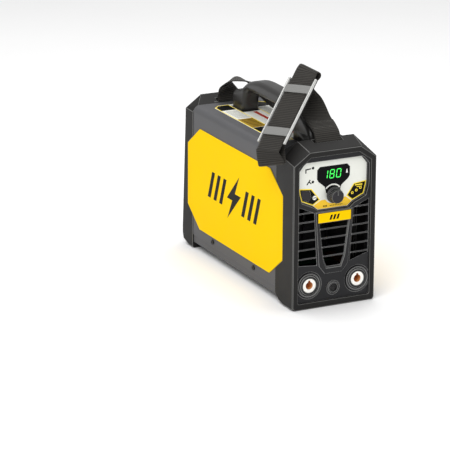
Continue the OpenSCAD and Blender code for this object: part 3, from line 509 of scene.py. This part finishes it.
# ---------- handle ----------
def rounded_solid(name, outer, hole, half_width, edge, material, body, floor):
    """A solid across the case with a hole through it and all its long edges rounded."""
    steps = 6
    points, faces = [], []
    rings = []
    for side in (-1, 1):
        order = range(steps, -1, -1) if side < 0 else range(steps + 1)
        for k in order:
            turn = math.radians(90 * k / steps)
            gap = edge * (1 - math.cos(turn))
            x = side * (half_width - edge + edge * math.sin(turn))
            rings.append((x, inset(outer, gap), inset(hole, gap)))
    for loop in (1, 2):
        size = len(rings[0][loop])
        start = len(points)
        for ring in rings:
            points += [at(ring[0], depth, z) for depth, z in ring[loop]]
        for r in range(len(rings) - 1):
            for i in range(size):
                j = (i + 1) % size
                low, high = start + r * size, start + (r + 1) * size
                faces.append((low + i, low + j, high + j, high + i))
    outer_size, hole_size = len(rings[0][1]), len(rings[0][2])
    hole_start = outer_size * len(rings)
    for ring in (0, len(rings) - 1):
        loops = [[Vector((a, b, 0)) for a, b in rings[ring][loop]] for loop in (1, 2)]
        for cap in tessellate_polygon(loops):
            faces.append(tuple(ring * outer_size + i if i < outer_size
                               else hole_start + ring * hole_size + i - outer_size for i in cap))
    piece = add_piece(name, points, faces, material, body, smooth=True)
    edit = bmesh.new()
    edit.from_mesh(piece.data)
    cut = bmesh.ops.bisect_plane(edit, geom=edit.verts[:] + edit.edges[:] + edit.faces[:],
                                 plane_co=at(0, 0, floor), plane_no=(0, 0, -1), clear_outer=True)
    bmesh.ops.holes_fill(edit, edges=[e for e in cut["geom_cut"]
                                      if isinstance(e, bmesh.types.BMEdge)])
    bmesh.ops.recalc_face_normals(edit, faces=edit.faces)
    edit.to_mesh(piece.data)
    edit.free()
    return piece


handle_below = cover_top - 12
handle_outer = anticlockwise(rounded(
    [(handle_end, handle_below), (handle_end, cover_top + 31), (319, cover_top + 34),
     (301, handle_top - 16), (281, handle_top - 6), (252, handle_top + 0.5), (190, handle_top),
     (150, handle_top - 2), (112, handle_top - 10), (84, handle_top - 22), (66, handle_top - 38),
     (59, cover_top + 12), (64, handle_below)],
    [0, 12, 16, 16, 20, 24, 24, 24, 24, 24, 18, 10, 0]))
grip_low = handle_top - 24
handle_hole = anticlockwise(rounded(
    [(301, handle_below + 2), (301, grip_low), (124, grip_low), (124, handle_below + 2)],
    [0, 28, 28, 0], 8))[::-1]
handle = rounded_solid("handle_grip", handle_outer, handle_hole, handle_half_w, 8, grip, "case",
                       cover_top)
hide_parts("handle")


# ---------- front controls ----------
left_wing = [(-62.2, 205.7), (-39, 203.2), (-22.8, 182.8), (-36.6, 174.4), (-57.6, 183.6),
             (-61.2, 198)]
right_wing = [(62.2, 205.7), (39, 203.2), (25.4, 183.6), (36.6, 174.4), (57.6, 183.6), (61.2, 198)]
button_hole = [(-58.4, 201.4), (-42.6, 200.7), (-39.1, 189), (-43.9, 181.5), (-55.8, 185.7),
               (-58.4, 196)]

wing_border = 1.7
for side, wing in (("left", anticlockwise(left_wing)), ("right", anticlockwise(right_wing))):
    inner = inset(wing, wing_border)
    printed("wing_border_" + side, [wing], on_overlay, yellow_ink, holes=[inner])
    printed("wing_field_" + side, [inset(wing, wing_border + 0.03)], on_overlay, black_ink,
            holes=[button_hole] if side == "left" else ())

icon = (-33.2, 187.2)
printed("wing_icon", [disc(icon, 3.7)], on_overlay, white_ink, height=raised_ink)
printed("wing_icon_bar", [rectangle(icon[0] - 2.9, icon[1] - 0.6, icon[0] + 2.9, icon[1] + 0.6)],
        on_overlay, black_ink, height=top_ink)
ring_centres = [(36.5, 187), (44, 190.5), (51.5, 194)]
wing_marks = [disc(centre, 2.4, 16) for centre in ring_centres]
wing_marks += [rectangle(41, 198.6, 55, 200.6), rectangle(44.6, 195.6, 54, 196.9)]
printed("wing_marks", wing_marks, on_overlay, yellow_ink, height=raised_ink)
printed("wing_mark_centres", [disc(centre, 1.1, 12) for centre in ring_centres], on_overlay,
        black_ink, height=top_ink)

strip = ([(-21.8, 181.6), (-35.6, 173.7), (-27.1, 166.9), (27.1, 166.9), (35.6, 173.7),
          (24.4, 182.4)] + arc((0, knob_z), 15.4, -30, -150, 14))
printed("control_strip", [strip], on_overlay, orange_ink)
strip_marks = [rectangle(-17 + i * 2.6, 169.4, -15.4 + i * 2.6, 172.2) for i in range(3)]
strip_marks += [rectangle(-5 + i * 3.1, 169.8, -3.2 + i * 3.1, 171.2) for i in range(8)]
printed("control_strip_marks", strip_marks, on_overlay, black_ink,
        height=raised_ink)

dots = [disc((-36.8, 238), 2.3), disc((-36.8, 214.6), 2.3)]
bent_line = [(-50.9, 230.5), (-48.9, 230.5), (-48.9, 235.6), (-40.6, 236.5), (-40.6, 238.5),
             (-50.9, 237.6)]
fork = [[(-48.6, 211.2), (-42.6, 219.4), (-40.9, 218.2), (-46.9, 210.2)],
        [(-44.6, 214.8), (-40, 211), (-38.9, 212.6), (-43.5, 216.4)]]
printed("mode_marks", dots + [bent_line] + fork, on_overlay, black_ink)

dial_arc = arc((0, knob_z), 17.8, 40, 140, 22) + arc((0, knob_z), 15.4, 140, 40, 22)
printed("dial_arc", [dial_arc], on_window, white_ink, height=0.06)
printed("unit_mark", [[(23.7, 222.8), (27.3, 222.8), (26, 229.4), (25, 229.4)]], on_window,
        white_ink)

# Seven segment digits, drawn in a cell that stands on the origin
digit_w = 7.4
digit_h = 13.8
stroke = 1.5
digit_pitch = 12.2
digit_slant = 0.12
digit_start = (-18.6, 217.4)


def segment(start, end):
    """A bar with pointed ends between two corners of the cell."""
    a, b = Vector(start), Vector(end)
    along = (b - a).normalized()
    side = Vector((-along.y, along.x)) * stroke / 2
    tip = along * stroke / 2
    a, b = a + along * 0.25, b - along * 0.25
    corners = (a, a + tip - side, b - tip - side, b, b - tip + side, a + tip + side)
    return [tuple(corner) for corner in corners]


cell = [(0, 0), (digit_w, 0), (0, digit_h / 2), (digit_w, digit_h / 2), (0, digit_h),
        (digit_w, digit_h)]
segments = {"top": (4, 5), "middle": (2, 3), "low": (0, 1), "left_low": (0, 2), "left_high": (2, 4),
            "right_low": (1, 3), "right_high": (3, 5)}
shown = {"1": ["right_low", "right_high"], "8": list(segments),
         "0": [key for key in segments if key != "middle"]}
lit = []
for place, digit in enumerate("180"):
    for key in shown[digit]:
        bar = segment(cell[segments[key][0]], cell[segments[key][1]])
        lit.append(shifted(shifted(bar, digit_start[0] + place * digit_pitch, 0, digit_slant),
                           0, digit_start[1]))
printed("display_digits", lit, on_window, green_light)

slant = 0.35
badge_z = 153.4
badge_bar_pitch = 6.4
badge_bars = [rectangle(i * badge_bar_pitch - 9, -4.2, i * badge_bar_pitch - 5.2, 4.2)
              for i in range(3)]
badge_bars = [shifted(shifted(bar, 0.4, 0, slant), 0, badge_z) for bar in badge_bars]
printed("badge_marks", badge_bars, on_badge, black_ink)

# ---------- side plates ----------
bolt = [(20, 42), (-26, -6), (-6, -6), (-24, -42), (26, 8), (4, 8)]
plate_middle = (214, 136)
bar_start = 36
bar_pitch = 22
bar_w = 11
bar_half_h = 24


def plate_mark(direction):
    """A bolt between slanted bars. Direction is the way that counts as right on a plate."""
    starts = [bar_start + i * bar_pitch for i in range(3)]
    bars = [rectangle(a, -bar_half_h, a + bar_w, bar_half_h) for a in starts]
    bars += [rectangle(-a - bar_w, -bar_half_h, -a, bar_half_h) for a in starts]
    shapes = [shifted(bar, 0, 0, slant) for bar in bars] + [bolt]
    return [[(plate_middle[0] + direction * a, plate_middle[1] + b) for a, b in shape]
            for shape in shapes]


printed("plate_mark_left", plate_mark(-1), on_left_plate, black_ink)
printed("plate_mark_right", plate_mark(1), on_right_plate, black_ink)

# ---------- label on the cover ----------
leg_x = handle_half_w + 1.6
label_border = 1.6
header_depth = 322
ochre_depths = (206, 262)
dark_depths = (150, 205)


def label_side(side):
    """Edges of the label beside the handle, on one side of it."""
    outer = side * (label_x - 0.8)
    corner = 10
    return [(side * leg_x, label_front + 1), (outer, label_front + 1), (outer, label_rear - corner),
            (outer - side * corner, label_rear - 1), (side * leg_x, label_rear - 1)]


for side, word in ((-1, "left"), (1, "right")):
    edge = anticlockwise(label_side(side))
    printed("label_border_" + word, [edge], on_label, yellow_ink,
            holes=[inset(edge, label_border)])
    inner, outer = side * (leg_x + label_border + 0.05), side * (label_x - 2.45)
    near, far = min(inner, outer), max(inner, outer)
    header = [(inner, header_depth), (outer, header_depth), (outer, label_rear - 11.4),
              (outer - side * 9, label_rear - 2.6), (inner, label_rear - 2.6)]
    printed("label_header_" + word, [header], on_label, black_ink)
    printed("label_ochre_" + word, [rectangle(near, ochre_depths[0], far, ochre_depths[1])],
            on_label, ochre_ink)
    printed("label_dark_" + word, [rectangle(near, dark_depths[0], far, dark_depths[1])],
            on_label, black_ink)
    lines = [rectangle(min(side * 20, side * 43), d, max(side * 20, side * 43), d + 1.6)
             for d in range(268, 318, 5)]
    printed("label_lines_" + word, lines, on_label, grey_ink)
    bars = [rectangle(min(side * 22, side * 42), d, max(side * 22, side * 42), d + 2.2)
            for d in range(213, 258, 8)]
    printed("label_bars_" + word, bars, on_label, black_ink, height=raised_ink)
printed("label_red", [rectangle(0, 128, 7, 296)], on_label, red_ink)


# ---------- strap ----------
strap_w = 46
strap_t = 1.7
pin_wrap = 3.1
step = rib_pitch / 5
pad_joint = next(joint for joint in frame["joints"] if joint["name"] == "pad_slide")
run_dir = Vector(pad_joint["axis"]).normalized()
run_side = Vector((0.413, -0.9059, 0.094)).normalized()
run_up = run_side.cross(run_dir)
run_start = Vector((-118.5, 33.5, body_h - 18))
low_fold = Vector((-103, 31, body_h - 16))
low_side = Vector((0.615, -0.757, 0.22)).normalized()
low_dir = Vector((-0.196, -0.416, -0.881)).normalized()
low_up = low_dir.cross(low_side)
top_skew = 0.32
top_side = (run_side - top_skew * run_dir).normalized()
top_dir = (run_dir + top_skew * run_side).normalized()


def on_run(s):
    return run_start + s * run_dir


def fold(place, heading, outward, side, radius):
    return [(place + radius * (math.sin(a) * heading + (math.cos(a) - 1) * outward), side)
            for a in (math.radians(45 * k) for k in range(5))]


# Each station is a centre and a width direction, from the rear slot to the front slot
stations = [
    ((0, body_l - 16.4, body_h - 10.5), (1, 0, 0)),
    ((-1, body_l - 16.4, body_h - 3), (1, 0.1, 0)),
    ((-3, body_l - 17, body_h + 4), (0.95, 0.3, 0)),
    ((-7, body_l - 19, body_h + 16), (0.8, 0.6, -0.05)),
    ((0, body_l - 25, body_h + 26), (0.55, 0.83, -0.1)),
    ((10, body_l - 37, body_h + 29), (0.4, 0.9, -0.1)),
    ((22, body_l - 53, body_h + 25), (0.3, 0.9, -0.3)),
    ((31, body_l - 73, body_h + 19), (0.25, 0.6, -0.75)),
    ((36, body_l - 98, body_h + 15), (0.1, 0.2, -1)),
    ((37, 270, body_h + 14.5), (0, 0, -1)),
    ((37, 215, body_h + 18), (0, 0, -1)),
    ((37, 185, body_h + 32), (-0.2, -0.45, -0.85)),
    ((28, 158, handle_top - 1), (-0.35, -0.9, -0.3)),
    ((4, 140, handle_top + 5), (-0.05, -1, -0.1)),
    ((-20, 132, handle_top - 2), (0.15, -1, -0.1)),
    ((-42, 112, body_h + 28), (0.4, -0.9, 0)),
    ((-62, 88, body_h + 10), (0.55, -0.82, 0.1)),
    ((-86, 60, body_h - 1), low_side)]
stations += fold(low_fold, low_dir, low_up, low_side, 5)[::-1]
stations += [(on_run(s), run_side) for s in (24, 28, 70, 130, 174)]
stations += fold(on_run(186), top_dir, run_up, top_side, 6)
stations += [
    (on_run(168) - 13 * run_up - 5 * run_side, top_side),
    ((2, 96, body_h + 63), (0.6, -0.8, 0)),
    ((3, 76, body_h + 38), (0.9, -0.4, 0)),
    ((3, 47, body_h + 23), (1, 0, 0)),
    ((2.5, 38, body_h + 17), (1, 0, 0)),
    ((2.2, 34.2, body_h + 11), (1, 0, 0)),
    ((2, 32.9, body_h + 5), (1, 0, 0))]
stations = [(Vector(centre), Vector(side)) for centre, side in stations]


def spline(a, b, c, d, t):
    return 0.5 * (2 * b + (c - a) * t + (2 * a - 5 * b + 4 * c - d) * t ** 2
                  + (3 * b - a - 3 * c + d) * t ** 3)


def smooth_line(stops):
    """Closely spaced stations on a smooth curve through the given ones."""
    line = []
    for i in range(len(stops) - 1):
        four = [stops[min(max(i + k, 0), len(stops) - 1)] for k in (-1, 0, 1, 2)]
        count = max(1, round((four[2][0] - four[1][0]).length / step))
        for k in range(count):
            t = k / count
            line.append((spline(*[stop[0] for stop in four], t),
                         spline(*[stop[1] for stop in four], t).normalized()))
    return line + [stops[-1]]


def faces_up(line):
    """Outward direction of the webbing at each station."""
    ups = []
    for i in range(len(line)):
        heading = (line[min(i + 1, len(line) - 1)][0] - line[max(i - 1, 0)][0]).normalized()
        ups.append(heading.cross(line[i][1]).normalized())
    return ups


def looped(line, pin, skip, length):
    """The webbing goes on round a pin and lies back along itself, where it is sewn."""
    x, side = line[-1][0].x, Vector((1, 0, 0))
    turn = [(Vector((x, pin[0] + pin_wrap * math.cos(math.radians(a)),
                     pin[1] + pin_wrap * math.sin(math.radians(a)))), side)
            for a in range(0, -181, -30)]
    ups = faces_up(line)
    back = []
    travelled = 0
    for i in range(len(line) - 2, 0, -1):
        travelled += (line[i][0] - line[i + 1][0]).length
        if travelled > length:
            break
        if travelled > skip:
            back.append((line[i][0] + ups[i] * (strap_t + 0.3), line[i][1]))
    bend = smooth_line([line[-2], line[-1]] + turn + [back[0], back[1]])
    return line[:-2] + bend[:-2] + back


def ribbon(name, line, material, body, width=strap_w, thickness=strap_t):
    """Flat woven webbing with real crosswise ribs and soft edges, along closely spaced stations."""
    ups = faces_up(line)
    across = 12
    section = [(-0.5 + i / across, 1) for i in range(across + 1)]
    section = [(a * 0.985, h) for a, h in section] + [(0.5, 0)]
    section += [(-a, -h) for a, h in section[:across + 1]] + [(-0.5, 0)]
    points, faces, run = [], [], []
    travelled = 0
    for i, (centre, side) in enumerate(line):
        if i:
            travelled += (centre - line[i - 1][0]).length
        run.append(travelled)
        rib = rib_height * math.cos(2 * math.pi * travelled / rib_pitch)
        for a, h in section:
            selvedge = 0.25 if abs(a) > 0.44 else 0
            lift = h * (thickness / 2 - selvedge * abs(h) * 0.5 + rib * (1 - selvedge * 3))
            p = centre + side * a * width + ups[i] * lift
            points.append(at(*p))
    size = len(section)
    for i in range(len(line) - 1):
        for k in range(size):
            j = (k + 1) % size
            faces.append((i * size + k, i * size + j, (i + 1) * size + j, (i + 1) * size + k))
    faces.append(tuple(range(size)))
    faces.append(tuple((len(line) - 1) * size + k for k in range(size)))
    piece = add_piece(name, points, faces, material, body, smooth=True)
    layer = piece.data.uv_layers.new(name="weave")
    for corner in piece.data.loops:
        i, k = divmod(corner.vertex_index, size)
        layer.data[corner.index].uv = (section[k][0] * width * MM, run[i] * MM)
    return piece


front_pin = (29.5, body_h + 2)
rear_pin = (body_l - 19.5, body_h - 11.5)
strap_line = looped(smooth_line(stations), front_pin, 9, 42)
strap_line = looped(strap_line[::-1], rear_pin, 9, 30)[::-1]
strap = ribbon("strap_webbing", strap_line, webbing, "case")
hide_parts("shoulder_strap")


stitch_pitch = 2.4
stitch_half_l = 0.95
stitch_radii = {-1: 0.16, 0: 0.34, 1: 0.16}


def stitches(name, line, rows, lift):
    """Short thread bars in crosswise rows, each standing on the webbing."""
    ups = faces_up(line)
    points, faces = [], []
    for row in rows:
        centre, side = line[row]
        heading = (line[row + 1][0] - line[row - 1][0]).normalized()
        for n in range(-8, 9):
            middle = centre + side * n * stitch_pitch + ups[row] * lift
            start = len(points)
            for end, radius in stitch_radii.items():
                for turn in range(8):
                    a = math.radians(45 * turn)
                    outward = heading * math.cos(a) + ups[row] * math.sin(a)
                    points.append(at(*(middle + side * end * stitch_half_l + radius * outward)))
            for ring in (0, 8):
                for turn in range(8):
                    other = (turn + 1) % 8
                    faces.append((start + ring + turn, start + ring + other,
                                  start + ring + 8 + other, start + ring + 8 + turn))
            faces.append(tuple(start + turn for turn in range(8)))
            faces.append(tuple(start + 16 + turn for turn in range(8)))
    return add_piece(name, points, faces, thread, "case", smooth=True)


def row_from_end(line, lengths):
    """Indices of stations at these distances from the end of a line."""
    found, travelled = [], 0
    for i in range(len(line) - 2, 0, -1):
        before = travelled
        travelled += (line[i][0] - line[i + 1][0]).length
        found += [i for length in lengths if before < length <= travelled]
    return found


# The tail of the line lies upside down, so its outside is on its inner side
stitches("strap_seam_front", strap_line, row_from_end(strap_line, (3, 6, 16, 19)), -strap_t / 2)
rear_first = strap_line[::-1]
stitches("strap_seam_rear", rear_first, row_from_end(rear_first, (3, 6)), -strap_t / 2)


# ---------- shoulder pad ----------
pad_s = 40
pad_l = 128
pad_w = 57
pad_low = -strap_t / 2 - 0.4
pad_high = strap_t / 2 + 0.4
rail_w = 3.6
bridge_in = 22
bridge_l = 15
pad_origin = on_run(pad_s)


def on_pad(along, across, up):
    return at(*(pad_origin + along * run_dir - across * run_side + up * run_up))


def pad_block(name, along, across, up, edge, material, crown=0.0, ridges=0):
    """A block on the pad with rounded edges, crowned or ridged on its upper face."""
    count_l, count_w = 24, 16
    points, faces = [], []
    for level in (0, 1):
        for i in range(count_l + 1):
            for j in range(count_w + 1):
                u, v = i / count_l, j / count_w
                rise = crown * (1 - (2 * v - 1) ** 2)
                if ridges:
                    rise += 0.12 * math.cos(2 * math.pi * ridges * u)
                height = up[level] + (rise if level else 0)
                points.append(on_pad(along[0] + (along[1] - along[0]) * u,
                                     across[0] + (across[1] - across[0]) * v, height))
    row = count_w + 1
    layer = (count_l + 1) * row
    for i in range(count_l):
        for j in range(count_w):
            a = i * row + j
            quad = (a, a + 1, a + row + 1, a + row)
            faces.append(quad)
            faces.append(tuple(layer + p for p in quad))
    border = ([j for j in range(count_w)] + [i * row + count_w for i in range(count_l)]
              + [count_l * row + j for j in range(count_w, 0, -1)]
              + [i * row for i in range(count_l, 0, -1)])
    for a, b in zip(border, border[1:] + border[:1]):
        faces.append((a, b, layer + b, layer + a))
    piece = add_piece(name, points, faces, material, "pad")
    return soften(piece, edge, 3, angle=50)


pad_base = pad_block("pad_base", (0, pad_l), (-pad_w / 2, pad_w / 2), (pad_low - 2.2, pad_low),
                     0.8, pad_dark)
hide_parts("shoulder_pad")
# The rails carry a painted highlight in their light grey finish.
for word, across in (("left", (-pad_w / 2, -pad_w / 2 + rail_w)),
                     ("right", (pad_w / 2 - rail_w, pad_w / 2))):
    pad_block("pad_rail_" + word, (0, pad_l), across, (pad_low + 0.02, pad_high + 1), 0.7,
              pad_rail_highlight)
for word, middle in (("low", bridge_in), ("high", pad_l - bridge_in)):
    pad_block("pad_bridge_" + word, (middle - bridge_l / 2, middle + bridge_l / 2),
              (-pad_w / 2 + rail_w + 0.1, pad_w / 2 - rail_w - 0.1), (pad_high, pad_high + 1.3),
              0.5, pad_grey, crown=0.5, ridges=5)


# ---------- mains lead ----------
lead = frame["nodes"]["mains_cable"]
for face in lead.data.polygons:
    face.use_smooth = True
lead.modifiers.new("weld", "WELD").merge_threshold = 0.002 * MM
lead.modifiers.new("smooth", "SUBSURF").render_levels = 2
soften(frame["nodes"]["cable_tie"], 0.5, welded=True)
soften(frame["nodes"]["mains_plug"], 1.2, 3, welded=True)


# ---------- floor, light and camera ----------
def plain_floor():
    shader = Shader("floor")
    cloud = shader.noise(3, 2)
    body = shader.blend(cloud, (0.93, 0.93, 0.93, 1), (0.96, 0.96, 0.96, 1))
    mesh = bpy.data.meshes.new("floor")
    reach = 14
    corners = [(-reach, -reach, 0), (reach, -reach, 0), (reach, reach, 0), (-reach, reach, 0)]
    mesh.from_pydata(corners, [], [(0, 1, 2, 3)])
    mesh.materials.append(shader.finish(Base_Color=body, Roughness=0.9, Specular_IOR_Level=0.1))
    floor = bpy.data.objects.new("floor", mesh)
    bpy.context.scene.collection.objects.link(floor)


def softbox(name, place, target, size, power):
    light = bpy.data.lights.new(name, "AREA")
    light.shape = "RECTANGLE"
    light.size, light.size_y = size
    light.energy = power
    lamp = bpy.data.objects.new(name, light)
    lamp.location = place
    lamp.rotation_euler = (Vector(target) - Vector(place)).to_track_quat("-Z", "Y").to_euler()
    bpy.context.scene.collection.objects.link(lamp)


def pale_world(strength):
    world = bpy.data.worlds.new("studio")
    world.use_nodes = True
    background = world.node_tree.nodes["Background"]
    background.inputs["Color"].default_value = (1, 1, 1, 1)
    background.inputs["Strength"].default_value = strength
    bpy.context.scene.world = world


plain_floor()
centre = (cad_low + cad_high) / 2
for name, offset, size, power in (("key", (-1.6, -1.4, 2.0), (1.6, 1.6), 40),
                                  ("fill", (1.9, -2.2, 1.1), (1.4, 1.4), 12),
                                  ("top", (0.1, 0.6, 2.4), (2.4, 1.6), 40)):
    softbox(name, centre + Vector(offset), centre, size, power)
pale_world(0.55)
bpy.context.scene.view_settings.view_transform = "Standard"

# The camera turns about a point beside the case, as the case stands right of the middle
aim = Vector((-0.1403, 0.1008, 0.1241))
azimuth = math.radians(-26.53)
elevation = math.radians(17.61)
roll = math.radians(0.28)
distance = 4.73
back = Vector((math.sin(azimuth) * math.cos(elevation), -math.cos(azimuth) * math.cos(elevation),
               math.sin(elevation)))
camera = bpy.data.objects.new("camera", bpy.data.cameras.new("camera"))
camera.data.lens = 229.75
camera.data.sensor_width = 36
camera.matrix_world = (Matrix.Translation(aim + back * distance)
                       @ back.to_track_quat("Z", "Y").to_matrix().to_4x4()
                       @ Matrix.Rotation(roll, 4, "Z"))
bpy.context.scene.collection.objects.link(camera)
bpy.context.scene.camera = camera
